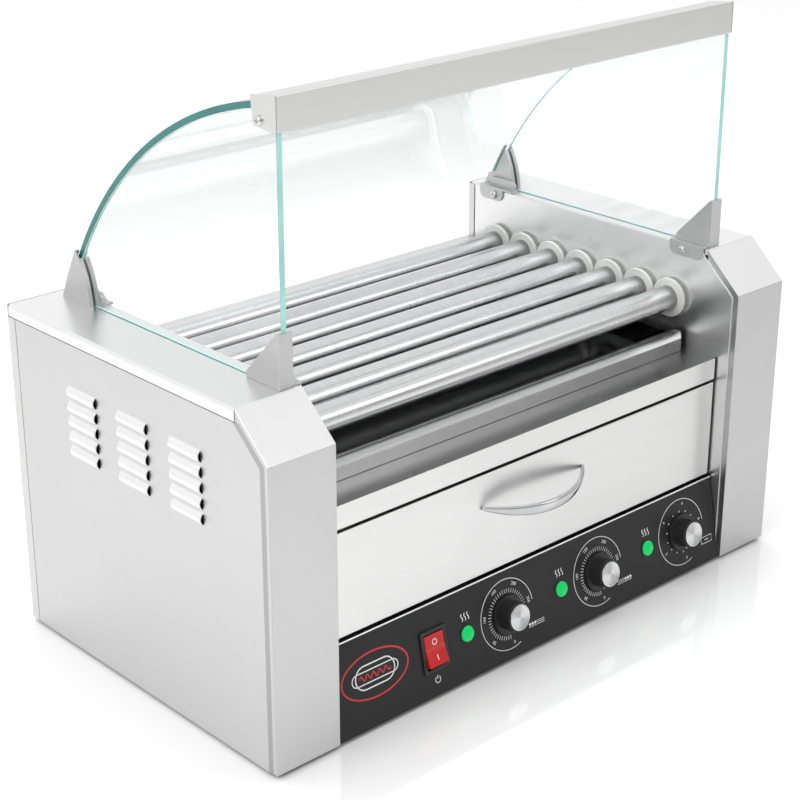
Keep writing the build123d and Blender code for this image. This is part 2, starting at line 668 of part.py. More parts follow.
def make_rocker():
    """Rocker cap: shallow V face on a round pivot barrel, off side pressed."""
    half_x = SWITCH_WELL_X - 0.4
    half_y = SWITCH_WELL_Y - 1.6
    outline = [(-half_y, 0), (-half_y, 5.0), (0, 3.4), (half_y, 5.0), (half_y, 0), (4, -2.5), (-4, -2.5)]
    wire = Polyline([(0, y, z) for y, z in outline], close=True)
    cap = extrude(make_face(wire), amount=half_x, dir=(1, 0, 0), both=True)
    cap += rod_x(-half_x, half_x, 0, 0, 4.0)
    return PANEL * Pos(SWITCH_X, 0, ROCKER_PIVOT) * Rot(-ROCKER_TILT, 0, 0) * cap


# ================================================================ glass guard
def arc_point(radius, z):
    return ARC_Y + math.sqrt(radius ** 2 - (z - ARC_Z) ** 2), z


def arc_point_at_y(radius, y):
    return y, ARC_Z + math.sqrt(radius ** 2 - (y - ARC_Y) ** 2)


def arc_middle(radius, start, end):
    """Point half way along the guard's arc between two of its points."""
    first = math.atan2(start[1] - ARC_Z, start[0] - ARC_Y)
    last = math.atan2(end[1] - ARC_Z, end[0] - ARC_Y)
    angle = (first + last) / 2
    return ARC_Y + radius * math.cos(angle), ARC_Z + radius * math.sin(angle)


def yz_arc(x, radius, start, end):
    middle = arc_middle(radius, start, end)
    return ThreePointArc((x, *start), (x, *middle), (x, *end))


GLASS_REAR_Z = HEIGHT + 0.3


def make_side_glass():
    """Left end glass: straight front and bottom, arc along the curved sheet."""
    x = -GUARD_X - GLASS / 2
    radius = ARC_RADIUS - GLASS - 0.3
    top = arc_point_at_y(radius, GUARD_FRONT + RAIL_DEPTH)
    shoulder = (GUARD_FRONT, top[1])
    rear = arc_point(radius, GLASS_REAR_Z)
    front_low = (GUARD_FRONT, GLASS_REAR_Z)
    face = make_face([
        yz_arc(x, radius, top, rear),
        Polyline([(x, *rear), (x, *front_low), (x, *shoulder), (x, *top)]),
    ])
    return extrude(face, amount=GLASS, dir=(1, 0, 0))


def make_curved_glass():
    """One bent sheet over both end glasses, from the rail down to the rear."""
    half = GUARD_X + GLASS / 2
    start_out = arc_point_at_y(ARC_RADIUS, GUARD_FRONT + RAIL_DEPTH + 0.2)
    end_out = arc_point(ARC_RADIUS, ARC_END_Z)
    inner = ARC_RADIUS - GLASS
    start_in = arc_point_at_y(inner, GUARD_FRONT + RAIL_DEPTH + 0.2)
    end_in = arc_point(inner, ARC_END_Z)
    face = make_face([
        yz_arc(-half, ARC_RADIUS, start_out, end_out),
        Line((-half, *end_out), (-half, *end_in)),
        yz_arc(-half, inner, end_in, start_in),
        Line((-half, *start_in), (-half, *start_out)),
    ])
    return extrude(face, amount=2 * half, dir=(1, 0, 0))


def make_top_rail():
    """Stainless channel across the front top, closed at its ends."""
    half = GUARD_X + GLASS / 2 + 1.6
    y0 = GUARD_FRONT - 1.6
    y1 = GUARD_FRONT + RAIL_DEPTH
    outline = [(y0, RAIL_LOW), (y0, RAIL_HIGH), (y1, RAIL_HIGH - 3.5), (y1 - 2, RAIL_LOW + 2)]
    rail = prism_x(outline, -half, half)
    rail = soften(rail, rail.edges().filter_by(Axis.X).sort_by(Axis.Y)[:2], 1.0)
    hollow = [
        (y0 + 1.2, RAIL_LOW - 1), (y0 + 1.2, RAIL_HIGH - 1.4),
        (y1 - 1.2, RAIL_HIGH - 4.7), (y1 - 3.2, RAIL_LOW - 1),
    ]
    rail -= prism_x(hollow, -half + 1.4, half - 1.4)
    rail -= box(-half + 1.4, half - 1.4, y1 - 4, y1 + 1, RAIL_HIGH - 14, RAIL_HIGH - 1.6)
    slot = GLASS / 2 + 0.1
    for side in (-1, 1):
        groove = sorted((side * (half - 1.3), side * (half - 0.7)))
        rail -= box(*groove, y0 - 1, y0 + 0.6, RAIL_LOW - 1, RAIL_HIGH + 1)
    for x in (-GUARD_X, GUARD_X):
        rail -= box(x - slot, x + slot, y1 - 5, y1 + 1, RAIL_LOW - 1, RAIL_HIGH - 13)
    return rail


def clamp_ledge(x0, x1, y0, y1):
    """Clamp base from the glass in to the wall, with a tab hung inside it."""
    ledge = box(x0, x1, y0, y1, HEIGHT, HEIGHT + 2)
    tab = box(-WALL, -WALL + 1.6, y0, y1, HEIGHT - 11, HEIGHT + 2)
    tab = soften(tab, tab.edges().filter_by(Axis.X).sort_by(Axis.Z)[:2], 7)
    return ledge + tab


def make_front_clamp():
    """Left front clamp: two gusset cheeks and a front, slotted for the glass."""
    y0 = GUARD_FRONT - 1.6
    back = y0 + 38
    outline = [
        (y0, HEIGHT), (y0, CLAMP_HIGH), (y0 + 3, CLAMP_HIGH), (back, HEIGHT + 5), (back, HEIGHT),
    ]
    block = prism_x(outline, -GUARD_X - CLAMP_HALF, -GUARD_X + CLAMP_HALF)
    half = GLASS / 2 + 0.1
    block -= box(-GUARD_X - half, -GUARD_X + half, GUARD_FRONT - 0.1, back + 1, GLASS_REAR_Z, CLAMP_HIGH + 1)
    ledge = clamp_ledge(-GUARD_X + CLAMP_HALF - 1, -WALL + 1.6, y0 + 1, back)
    return block + ledge


def make_rear_clamp():
    """Left rear clamp: hood round the lower end of the curved glass."""
    outer = ARC_RADIUS + 1.4
    end = (ARC_Y + math.sqrt(outer ** 2 - (HEIGHT - ARC_Z) ** 2), HEIGHT)
    apex = arc_point(outer, HEIGHT + 44)
    fore = (end[0] - 38, HEIGHT)
    mid_fore = (fore[0] + 5, HEIGHT + 24)
    x0 = -GUARD_X - CLAMP_HALF
    face = make_face([
        yz_arc(x0, outer, apex, end),
        Line((x0, *end), (x0, *fore)),
        ThreePointArc((x0, *fore), (x0, *mid_fore), (x0, *apex)),
    ])
    hood = extrude(face, amount=2 * CLAMP_HALF, dir=(1, 0, 0))
    half = GLASS / 2 + 0.1
    hood -= box(-GUARD_X - half, -GUARD_X + half, fore[0] - 5, end[0] - 7, GLASS_REAR_Z, HEIGHT + 60)
    sheet_end = arc_point(ARC_RADIUS + 0.1, ARC_END_Z - 0.3)
    slot_top = arc_point(ARC_RADIUS + 0.1, HEIGHT + 60)
    inner = ARC_RADIUS - GLASS - 0.4
    inner_low = arc_point(inner, ARC_END_Z - 0.3)
    inner_high = arc_point(inner, HEIGHT + 60)
    slot = make_face([
        yz_arc(x0 - 1, ARC_RADIUS + 0.1, slot_top, sheet_end),
        Line((x0 - 1, *sheet_end), (x0 - 1, *inner_low)),
        yz_arc(x0 - 1, inner, inner_low, inner_high),
        Line((x0 - 1, *inner_high), (x0 - 1, *slot_top)),
    ])
    hood -= Pos(1 + 1.5, 0, 0) * extrude(slot, amount=2 * CLAMP_HALF + 60, dir=(1, 0, 0))
    ledge = clamp_ledge(-GUARD_X + CLAMP_HALF - 1, -WALL + 1.6, fore[0] + 6, end[0] - 2)
    ledge += box(-GUARD_X + CLAMP_HALF - 1, -WALL + 1.6, fore[0] - 6, fore[0] + 7, HEIGHT, HEIGHT + 2)
    y0, y1, z0, z1 = fore[0] - 4, end[0] - 10, HEIGHT + 1, HEIGHT + 10
    clip = [(y0, z0), (y0, z1 - 4), (y0 + 4, z1), (y1 - 4, z1), (y1, z1 - 4), (y1, z0)]
    return hood + ledge + prism_x(clip, -GUARD_X + CLAMP_HALF - 1, -GUARD_X + CLAMP_HALF + 3)


def pan_head(radius, height):
    """Pan head of a screw with a cross recess, standing on z = 0."""
    head = Pos(0, 0, height / 2) * Cylinder(radius, height)
    head = soften(head, head.edges().sort_by(Axis.Z)[-1:], height * 0.6)
    for turn in (0, 90):
        head -= Pos(0, 0, height) * Rot(0, 0, turn) * Box(radius * 1.1, 0.8, height * 0.9)
    return head


def facing(x, y, z, direction):
    """Plane at a point whose normal points the given way."""
    return Plane(origin=(x, y, z), z_dir=direction)


REAR_CLAMP_Y = ARC_Y + math.sqrt(ARC_RADIUS ** 2 - (HEIGHT - ARC_Z) ** 2) - 20


def make_guard_screws():
    """Pan-head screws of the clamp tabs and of the rail ends."""
    screws = []
    rail_half = GUARD_X + GLASS / 2 + 1.6
    for side in (-1, 1):
        inward = (-side, 0, 0)
        for y in (GUARD_FRONT + 22, REAR_CLAMP_Y):
            screws.append(facing(side * (WALL - 1.6), y, HEIGHT - 5, inward) * pan_head(3.6, 2.4))
        outward = (side, 0, 0)
        place = facing(side * rail_half, GUARD_FRONT + 16, RAIL_LOW + 6.5, outward)
        screws.append(place * pan_head(3.6, 2.4))
    return screws


def make_case_screws():
    """Pan-head screws of the back panel, in two rows."""
    screws = []
    for x in (-SIDE + 14, -BAY - 14, -120, 0, 120, BAY + 14, SIDE - 14):
        for z in (FLOOR + 10, 220):
            screws.append(facing(x, REAR, z, (0, 1, 0)) * pan_head(3.2, 2.0))
    return screws


# ================================================================ write the nodes
save("feet", *make_feet())
save("base_pan", make_base_pan())
outer_panel = make_outer_panel()
save("left_outer_panel", outer_panel)
save("right_outer_panel", mirrored(outer_panel))
top_cover = make_top_cover()
save("left_top_cover", top_cover)
save("right_top_cover", mirrored(top_cover))
front_fascia = make_front_fascia()
save("left_front_fascia", front_fascia)
save("right_front_fascia", mirrored(front_fascia))
inner_wall = make_inner_wall()
save("left_inner_wall", inner_wall)
save("right_inner_wall", mirrored(inner_wall))
save("back_panel", make_back_panel())
save("cord_gland", make_cord_gland())

for number in range(1, ROLLER_COUNT + 1):
    axis_y = roller_y(number - 1)
    save(f"roller_{number}", make_roller(number - 1))
    save(f"sprocket_{number}", make_sprocket(ROLLER_TEETH, axis_y, ROLLER_Z, ROLLER_RADIUS, 12.5))
seals = [make_seal(index, side) for index in range(ROLLER_COUNT) for side in (-1, 1)]
save("roller_seals", *seals)
save("heating_rods", *make_heating_rods())
rod_bracket = make_rod_bracket()
save("rod_brackets", rod_bracket, mirrored(rod_bracket))

save("motor_sprocket", make_sprocket(MOTOR_TEETH, MOTOR_Y, MOTOR_Z, SHAFT_RADIUS, 7))
save("motor_shaft", make_motor_shaft())
save("gear_motor", make_gear_motor())
save("motor_bracket", make_motor_bracket())
save("drive_chain", make_chain())

save("drip_shelf", make_drip_shelf())
save("drip_tray", make_drip_tray())
save("drawer_box", make_drawer_box())
save("drawer_front", make_drawer_front())
save("drawer_handle", make_drawer_handle())
save("drawer_runners", *make_drawer_runners())
save("warmer_element", *make_warmer_element())

save("control_panel", make_control_panel())
save("pilot_lamps", *make_lamps())
save("thermostats", *make_thermostats())
for name, x in zip(("front", "back", "warming"), DIAL_X):
    save(f"knob_{name}", make_knob(x))
    save(f"knob_cap_{name}", make_knob_cap(x))
save("switch_housing", make_switch_housing())
save("switch_rocker", make_rocker())

side_glass = make_side_glass()
save("left_side_glass", side_glass)
save("right_side_glass", mirrored(side_glass))
save("curved_glass", make_curved_glass())
save("top_rail", make_top_rail())
front_clamp = make_front_clamp()
save("front_clamps", front_clamp, mirrored(front_clamp))
rear_clamp = make_rear_clamp()
save("rear_clamps", rear_clamp, mirrored(rear_clamp))
save("guard_screws", *make_guard_screws())
save("case_screws", *make_case_screws())
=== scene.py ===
import json
import math

import bmesh
import bpy
from mathutils import Matrix, Vector


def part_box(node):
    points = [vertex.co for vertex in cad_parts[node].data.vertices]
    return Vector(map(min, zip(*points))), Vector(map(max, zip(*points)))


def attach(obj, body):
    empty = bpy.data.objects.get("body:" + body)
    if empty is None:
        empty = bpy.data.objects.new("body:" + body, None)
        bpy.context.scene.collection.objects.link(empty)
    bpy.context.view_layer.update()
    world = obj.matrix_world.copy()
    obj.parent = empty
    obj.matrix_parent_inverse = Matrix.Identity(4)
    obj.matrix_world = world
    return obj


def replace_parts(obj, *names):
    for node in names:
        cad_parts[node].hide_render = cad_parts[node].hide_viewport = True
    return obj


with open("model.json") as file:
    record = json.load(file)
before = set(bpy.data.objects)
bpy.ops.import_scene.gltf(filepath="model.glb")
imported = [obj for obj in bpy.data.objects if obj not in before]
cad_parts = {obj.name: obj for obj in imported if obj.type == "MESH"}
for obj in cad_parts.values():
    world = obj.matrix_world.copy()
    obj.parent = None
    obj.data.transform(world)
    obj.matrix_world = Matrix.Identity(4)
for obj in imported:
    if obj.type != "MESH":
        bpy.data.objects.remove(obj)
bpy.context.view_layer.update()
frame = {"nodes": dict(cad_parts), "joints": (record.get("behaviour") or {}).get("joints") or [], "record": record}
NODES = frame["nodes"]
MM = 0.001


# ---------------------------------------------------------------- small helpers
def span(node):
    """Lowest corner, highest corner and middle of a CAD node."""
    low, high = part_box(node)
    return low, high, (low + high) / 2


def link(tree, output, node_input):
    tree.links.new(output, node_input)


def new_material(name, base, roughness, metallic=0.0):
    """Material with one Principled shader; returns it with its tree and shader."""
    material = bpy.data.materials.new(name)
    material.use_nodes = True
    tree = material.node_tree
    shader = tree.nodes["Principled BSDF"]
    shader.inputs["Base Color"].default_value = (*base, 1)
    shader.inputs["Roughness"].default_value = roughness
    shader.inputs["Metallic"].default_value = metallic
    return material, tree, shader


def object_coords(tree, scale=(1, 1, 1), turn=(0, 0, 0)):
    coords = tree.nodes.new("ShaderNodeTexCoord")
    mapping = tree.nodes.new("ShaderNodeMapping")
    mapping.inputs["Scale"].default_value = scale
    mapping.inputs["Rotation"].default_value = turn
    link(tree, coords.outputs["Object"], mapping.inputs["Vector"])
    return mapping.outputs["Vector"]


def noise(tree, vector, scale, detail=3.0, rough=0.5):
    node = tree.nodes.new("ShaderNodeTexNoise")
    node.inputs["Scale"].default_value = scale
    node.inputs["Detail"].default_value = detail
    node.inputs["Roughness"].default_value = rough
    link(tree, vector, node.inputs["Vector"])
    return node.outputs["Fac"]


def ramp(tree, factor, stops):
    """Colour ramp; stops are (position, colour or grey)."""
    node = tree.nodes.new("ShaderNodeValToRGB")
    elements = node.color_ramp.elements
    while len(elements) < len(stops):
        elements.new(0.5)
    for element, (position, colour) in zip(elements, stops):
        element.position = position
        if isinstance(colour, (int, float)):
            colour = (colour, colour, colour)
        element.color = (*colour, 1)
    link(tree, factor, node.inputs["Fac"])
    return node.outputs["Color"]


def bump(tree, shader, height, strength, distance):
    node = tree.nodes.new("ShaderNodeBump")
    node.inputs["Strength"].default_value = strength
    node.inputs["Distance"].default_value = distance
    link(tree, height, node.inputs["Height"])
    link(tree, node.outputs["Normal"], shader.inputs["Normal"])
    return node


# ---------------------------------------------------------------- materials
def brushed_steel(name, base, roughness, grain=(1, 1, 1), depth=0.00002):
    """Satin stainless sheet: fine streaks along the grain, soft cloudy variation."""
    material, tree, shader = new_material(name, base, roughness, 1.0)
    streaks = noise(tree, object_coords(tree, grain), 60, 6, 0.7)
    clouds = noise(tree, object_coords(tree), 9, 3)
    tint = ramp(tree, streaks, [(0.3, [c * 0.975 for c in base]), (0.7, [min(1, c * 1.015) for c in base])])
    link(tree, tint, shader.inputs["Base Color"])
    blend = tree.nodes.new("ShaderNodeMath")
    blend.operation = "MULTIPLY_ADD"
    blend.inputs[1].default_value = 0.12
    blend.inputs[2].default_value = roughness - 0.06
    link(tree, clouds, blend.inputs[0])
    link(tree, blend.outputs[0], shader.inputs["Roughness"])
    bump(tree, shader, streaks, 0.12, depth)
    return material


def polished_metal(name, base, roughness, grain, depth=0.000004):
    """Bright metal with the faint lines of its turning or drawing."""
    material, tree, shader = new_material(name, base, roughness, 1.0)
    lines = noise(tree, object_coords(tree, grain), 90, 4, 0.6)
    tint = ramp(tree, lines, [(0.35, [c * 0.95 for c in base]), (0.65, base)])
    link(tree, tint, shader.inputs["Base Color"])
    spread = ramp(tree, lines, [(0.3, roughness * 0.75), (0.75, roughness * 1.4)])
    link(tree, spread, shader.inputs["Roughness"])
    bump(tree, shader, lines, 0.15, depth)
    return material


def moulded(name, base, roughness, grain=900, depth=0.00003, spec=0.5):
    """Moulded plastic or rubber: fine pebble, slight mottling."""
    material, tree, shader = new_material(name, base, roughness)
    shader.inputs["Specular IOR Level"].default_value = spec
    pebble = noise(tree, object_coords(tree), grain, 2)
    mottle = noise(tree, object_coords(tree), 25, 3)
    tint = ramp(tree, mottle, [(0.3, [c * 0.86 for c in base]), (0.7, [min(1, c * 1.1) for c in base])])
    link(tree, tint, shader.inputs["Base Color"])
    spread = ramp(tree, mottle, [(0.3, roughness * 0.85), (0.75, min(1, roughness * 1.15))])
    link(tree, spread, shader.inputs["Roughness"])
    bump(tree, shader, pebble, 0.3, depth)
    return material


def spun_metal(name, base, roughness):
    """Disc turned on its own axis: rings of fine lines, and the fan of light they give as a painted highlight in
    the base colour.
    """
    material, tree, shader = new_material(name, base, roughness, 1.0)
    coords = tree.nodes.new("ShaderNodeTexCoord")
    split = tree.nodes.new("ShaderNodeSeparateXYZ")
    link(tree, coords.outputs["Object"], split.inputs[0])
    radius = tree.nodes.new("ShaderNodeVectorMath")
    radius.operation = "LENGTH"
    flat = tree.nodes.new("ShaderNodeCombineXYZ")
    link(tree, split.outputs["X"], flat.inputs["X"])
    link(tree, split.outputs["Y"], flat.inputs["Y"])
    link(tree, flat.outputs[0], radius.inputs[0])
    line = tree.nodes.new("ShaderNodeCombineXYZ")
    link(tree, radius.outputs["Value"], line.inputs["X"])
    rings = noise(tree, line.outputs[0], 2600, 4, 0.7)
    tint = ramp(tree, rings, [(0.3, [c * 0.93 for c in base]), (0.7, base)])
    # painted highlight: light and dark sectors round the axis scale the base colour between 0.62 and 1.0
    turn = tree.nodes.new("ShaderNodeMath")
    turn.operation = "ARCTAN2"
    link(tree, split.outputs["Y"], turn.inputs[0])
    link(tree, split.outputs["X"], turn.inputs[1])
    double = tree.nodes.new("ShaderNodeMath")
    double.operation = "MULTIPLY_ADD"
    double.inputs[1].default_value = 2.0
    double.inputs[2].default_value = 0.6
    link(tree, turn.outputs[0], double.inputs[0])
    wave = tree.nodes.new("ShaderNodeMath")
    wave.operation = "SINE"
    link(tree, double.outputs[0], wave.inputs[0])
    half = tree.nodes.new("ShaderNodeMath")
    half.operation = "MULTIPLY_ADD"
    half.inputs[1].default_value = 0.5
    half.inputs[2].default_value = 0.5
    link(tree, wave.outputs[0], half.inputs[0])
    fan = ramp(tree, half.outputs[0], [(0.15, 0.62), (0.8, 1.0)])
    both = tree.nodes.new("ShaderNodeVectorMath")
    both.operation = "MULTIPLY"
    link(tree, tint, both.inputs[0])
    link(tree, fan, both.inputs[1])
    link(tree, both.outputs[0], shader.inputs["Base Color"])
    bump(tree, shader, rings, 0.15, 0.000003)
    shader.inputs["Anisotropic"].default_value = 0.85
    tangent = tree.nodes.new("ShaderNodeTangent")
    tangent.direction_type = "RADIAL"
    tangent.axis = "Z"
    link(tree, tangent.outputs[0], shader.inputs["Tangent"])
    return material


def roller_metal(name, base, roughness, reach):
    """Drawn tube: fine rings round it, with painted shade darkening it towards both ends."""
    material, tree, shader = new_material(name, base, roughness, 1.0)
    lines = noise(tree, object_coords(tree, (12, 0.3, 0.3)), 90, 4, 0.6)
    wide = noise(tree, object_coords(tree, (0.6, 1, 1)), 14, 2)
    coords = tree.nodes.new("ShaderNodeTexCoord")
    split = tree.nodes.new("ShaderNodeSeparateXYZ")
    link(tree, coords.outputs["Object"], split.inputs[0])
    away = tree.nodes.new("ShaderNodeMath")
    away.operation = "ABSOLUTE"
    link(tree, split.outputs["X"], away.inputs[0])
    along = tree.nodes.new("ShaderNodeMath")
    along.operation = "MULTIPLY"
    along.inputs[1].default_value = 1 / reach
    link(tree, away.outputs[0], along.inputs[0])
    # painted shade: over the last part of each end the base colour falls to 0.55, then 0.45, of itself
    end_shade = [c * 0.55 for c in base]
    deepest_end_shade = [c * 0.45 for c in base]
    painted_end_shade = ramp(tree, along.outputs[0], [(0.84, base), (0.94, end_shade), (1.0, deepest_end_shade)])
    grain = ramp(tree, lines, [(0.35, 0.92), (0.65, 1.0)])
    mix = tree.nodes.new("ShaderNodeVectorMath")
    mix.operation = "MULTIPLY"
    link(tree, painted_end_shade, mix.inputs[0])
    link(tree, grain, mix.inputs[1])
    link(tree, mix.outputs[0], shader.inputs["Base Color"])
    spread = ramp(tree, wide, [(0.3, roughness * 0.8), (0.75, roughness * 1.35)])
    link(tree, spread, shader.inputs["Roughness"])
    bump(tree, shader, lines, 0.15, 0.000004)
    return material


def glass(name, tint, roughness=0.01):
    material, tree, shader = new_material(name, tint, roughness)
    shader.inputs["Transmission Weight"].default_value = 1.0
    shader.inputs["IOR"].default_value = 1.45
    haze = noise(tree, object_coords(tree), 30, 2)
    spread = ramp(tree, haze, [(0.3, 0.0), (0.8, 0.03)])
    link(tree, spread, shader.inputs["Roughness"])
    path = tree.nodes.new("ShaderNodeLightPath")
    indirect = tree.nodes.new("ShaderNodeMath")
    indirect.operation = "MAXIMUM"
    link(tree, path.outputs["Is Shadow Ray"], indirect.inputs[0])
    link(tree, path.outputs["Is Diffuse Ray"], indirect.inputs[1])
    clear = tree.nodes.new("ShaderNodeBsdfTransparent")
    clear.inputs["Color"].default_value = (*tint, 1)
    mix = tree.nodes.new("ShaderNodeMixShader")
    link(tree, indirect.outputs[0], mix.inputs[0])
    link(tree, shader.outputs[0], mix.inputs[1])
    link(tree, clear.outputs[0], mix.inputs[2])
    link(tree, mix.outputs[0], tree.nodes["Material Output"].inputs["Surface"])
    return material


# The sheet steels below are one satin steel in copies whose base values, 0.36 to 0.86, follow how light falls on
# each kind of face: painted light and painted shade, slight between STEEL, STEEL_SIDE and STEEL_X.
STEEL = brushed_steel("satin_steel", (0.66, 0.66, 0.655), 0.34, (1, 1, 40))
# painted shade: a darker copy of the steel for the fascia fronts
STEEL_FRONT_PAINTED_SHADE = brushed_steel("satin_steel_front_painted_shade", (0.55, 0.55, 0.55), 0.34, (1, 1, 40))
STEEL_SIDE = brushed_steel("satin_steel_side", (0.63, 0.63, 0.63), 0.36, (1, 1, 40))
# painted highlight: a near-white copy of the steel for the pressed louvres
STEEL_LOUVRE_PAINTED_HIGHLIGHT = brushed_steel("satin_steel_louvre_painted_highlight", (0.86, 0.86, 0.86), 0.42, (1, 1, 1))
# painted shade: a dark copy of the steel for the side panels' sloping front strip
STEEL_EDGE_PAINTED_SHADE = brushed_steel("satin_steel_edge_painted_shade", (0.42, 0.42, 0.42), 0.34, (1, 1, 40))
# painted light: a lighter copy of the steel for the lids, the fascias' sloping corners and the inner walls
STEEL_PAINTED_LIGHT = brushed_steel("satin_steel_painted_light", (0.84, 0.84, 0.84), 0.34, (1, 40, 1))
CAST = brushed_steel("satin_casting", (0.60, 0.60, 0.60), 0.5, (1, 1, 1), 0.00001)
# painted shade: a dark copy of the steel for the shelf's top
SHELF_TOP_PAINTED_SHADE = brushed_steel("shelf_top_painted_shade", (0.36, 0.36, 0.36), 0.28, (0.04, 1, 1))
STEEL_X = brushed_steel("satin_steel_x", (0.70, 0.70, 0.695), 0.30, (0.04, 1, 1))
ROLLER = roller_metal("polished_tube", (0.68, 0.68, 0.685), 0.25, 0.231)
CHROME = polished_metal("chrome_plate", (0.56, 0.56, 0.57), 0.07, (1, 1, 1), 0.000001)
ZINC = brushed_steel("zinc_steel", (0.55, 0.56, 0.58), 0.42, (1, 1, 1))
PANEL_BLACK = moulded("panel_black", (0.020, 0.020, 0.021), 0.42, 1500, 0.00001, 0.28)
BLACK = moulded("black_plastic", (0.018, 0.018, 0.019), 0.42)
PTFE = moulded("ptfe", (0.80, 0.795, 0.77), 0.45)
RUBBER = moulded("foot_rubber", (0.02, 0.02, 0.02), 0.75)
CREAM = moulded("cream_plastic", (0.62, 0.58, 0.46), 0.5)
RED = moulded("red_plastic", (0.55, 0.01, 0.012), 0.25, 1200, 0.00001)
GREEN = moulded("green_lens", (0.0, 0.46, 0.11), 0.16, 1200, 0.00001, 0.3)
GREEN.node_tree.nodes["Principled BSDF"].inputs["Emission Color"].default_value = (0.0, 0.68, 0.12, 1)
GREEN.node_tree.nodes["Principled BSDF"].inputs["Emission Strength"].default_value = 0.36
ALUMINIUM = polished_metal("turned_aluminium", (0.84, 0.84, 0.85), 0.22, (1, 1, 1))
ELEMENT = moulded("heat_sheath", (0.055, 0.048, 0.045), 0.55, 500)
MOTOR_GREY = moulded("motor_enamel", (0.16, 0.17, 0.18), 0.4, 600)
GLASS = glass("clear_glass", (0.965, 0.99, 0.985))
GLASS_EDGE = moulded("glass_edge", (0.40, 0.76, 0.71), 0.22, 700, 0.000005)
# painted shade: a dark copy of the green edge colour, for the curved pane's curved ends
GLASS_EDGE_PAINTED_SHADE = moulded("glass_edge_painted_shade", (0.035, 0.19, 0.18), 0.2, 700, 0.000005)
# painted shade and painted reflection: a near-black copy of the tray steel for the well
TRAY_WELL_PAINTED_SHADE = polished_metal("tray_well_painted_shade", (0.085, 0.085, 0.088), 0.14, (0.05, 1, 1))
# painted shade: a darker copy of the steel for the tray's rim
TRAY_RIM_PAINTED_SHADE = brushed_steel("tray_rim_painted_shade", (0.50, 0.50, 0.50), 0.24, (0.04, 1, 1))
SCREW = polished_metal("screw_steel", (0.72, 0.72, 0.72), 0.22, (1, 1, 1))
INK = moulded("white_ink", (0.86, 0.86, 0.86), 0.5, 2000, 0.000002)
INK_RED = moulded("red_ink", (0.62, 0.03, 0.03), 0.5, 2000, 0.000002)
SPUN = spun_metal("spun_aluminium", (0.82, 0.82, 0.83), 0.24)


# ---------------------------------------------------------------- the frame's own facts
SIDES = ("left", "right")
ROLLERS = [f"roller_{number}" for number in range(1, 8)]
SPROCKETS = [f"sprocket_{number}" for number in range(1, 8)]
KNOBS = ("front", "back", "warming")
JOINTS = {joint["name"]: joint for joint in frame["joints"]}
BODY_OF = {}
for body_name, members in frame["record"]["behaviour"]["bodies"].items():
    for member in members:
        BODY_OF[member] = body_name

RIGHT = Vector((1, 0, 0))
OUT = -Vector(JOINTS["knob_front_turn"]["axis"]).normalized()     # out of the control panel
UP = OUT.cross(RIGHT)                                             # up the control panel
DIAL_X = [JOINTS[f"knob_{name}_turn"]["pos_m"][0] for name in KNOBS]
_PANEL_OUT = max(vertex.co.dot(OUT) for vertex in NODES["control_panel"].data.vertices)
_KNOB_AXIS = Vector(JOINTS["knob_front_turn"]["pos_m"])
PANEL_ORIGIN = _KNOB_AXIS + OUT * (_PANEL_OUT - _KNOB_AXIS.dot(OUT))
PANEL_ORIGIN.x = 0
PANEL_MATRIX = Matrix((RIGHT, UP, OUT)).transposed().to_4x4()
PANEL_MATRIX.translation = PANEL_ORIGIN


def on_panel(x, up, out=0.0):
    return PANEL_ORIGIN + RIGHT * x + UP * up + OUT * out


# ---------------------------------------------------------------- pieces from the CAD shells
def dress(material, *names):
    """Give CAD nodes a material."""
    for name in names:
        node = NODES[name]
        node.data.materials.clear()
        node.data.materials.append(material)


def new_piece(name, mesh, body, *materials):
    """Object for a mesh that rides on a body."""
    piece = bpy.data.objects.new(name, mesh)
    bpy.context.scene.collection.objects.link(piece)
    mesh.materials.clear()
    for material in materials:
        mesh.materials.append(material)
    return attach(piece, body)


def soften_edges(piece, width, segments=2):
    """Rounded edges with clean shading."""
    for polygon in piece.data.polygons:
        polygon.use_smooth = True
    bevel = piece.modifiers.new("edges", "BEVEL")
    bevel.width = width * MM
    bevel.segments = segments
    bevel.limit_method = "ANGLE"
    bevel.angle_limit = math.radians(32)
    bevel.harden_normals = True
    bevel.miter_outer = "MITER_ARC"
    normals = piece.modifiers.new("shading", "WEIGHTED_NORMAL")
    normals.keep_sharp = True


def shell(node, width, *materials, pick=None, segments=2):
    """Cleaned copy of a CAD node with rounded edges; pick chooses each face's material."""
    mesh = NODES[node].data.copy()
    clean = bmesh.new()
    clean.from_mesh(mesh)
    bmesh.ops.remove_doubles(clean, verts=clean.verts, dist=0.002 * MM)
    bmesh.ops.dissolve_limit(clean, angle_limit=math.radians(0.4), verts=clean.verts, edges=clean.edges)
    clean.normal_update()
    clean.to_mesh(mesh)
    clean.free()
    piece = new_piece(f"{node}_finished", mesh, BODY_OF[node], *materials)
    if pick:
        for polygon in mesh.polygons:
            polygon.material_index = pick(polygon.center, polygon.normal)
    soften_edges(piece, width, segments)
    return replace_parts(piece, node)


def louvre_face(centre, normal):
    """The pressed louvres stand out of the flat side; its front edge slopes in. The louvres take a near-white copy
    of the steel, painted highlight, and the front edge a dark copy, painted shade.
    """
    if abs(centre.x) > 0.2903:
        return 1
    return 2 if normal.y < -0.15 and abs(normal.x) > 0.9 else 0


def sloping_face(centre, normal):
    """The corner that slopes back to the lid, and any other up-facing face. These take a copy of the steel with
    painted light on the fascia and painted shade on the shelf.
    """
    return 1 if normal.z > 0.4 else 0


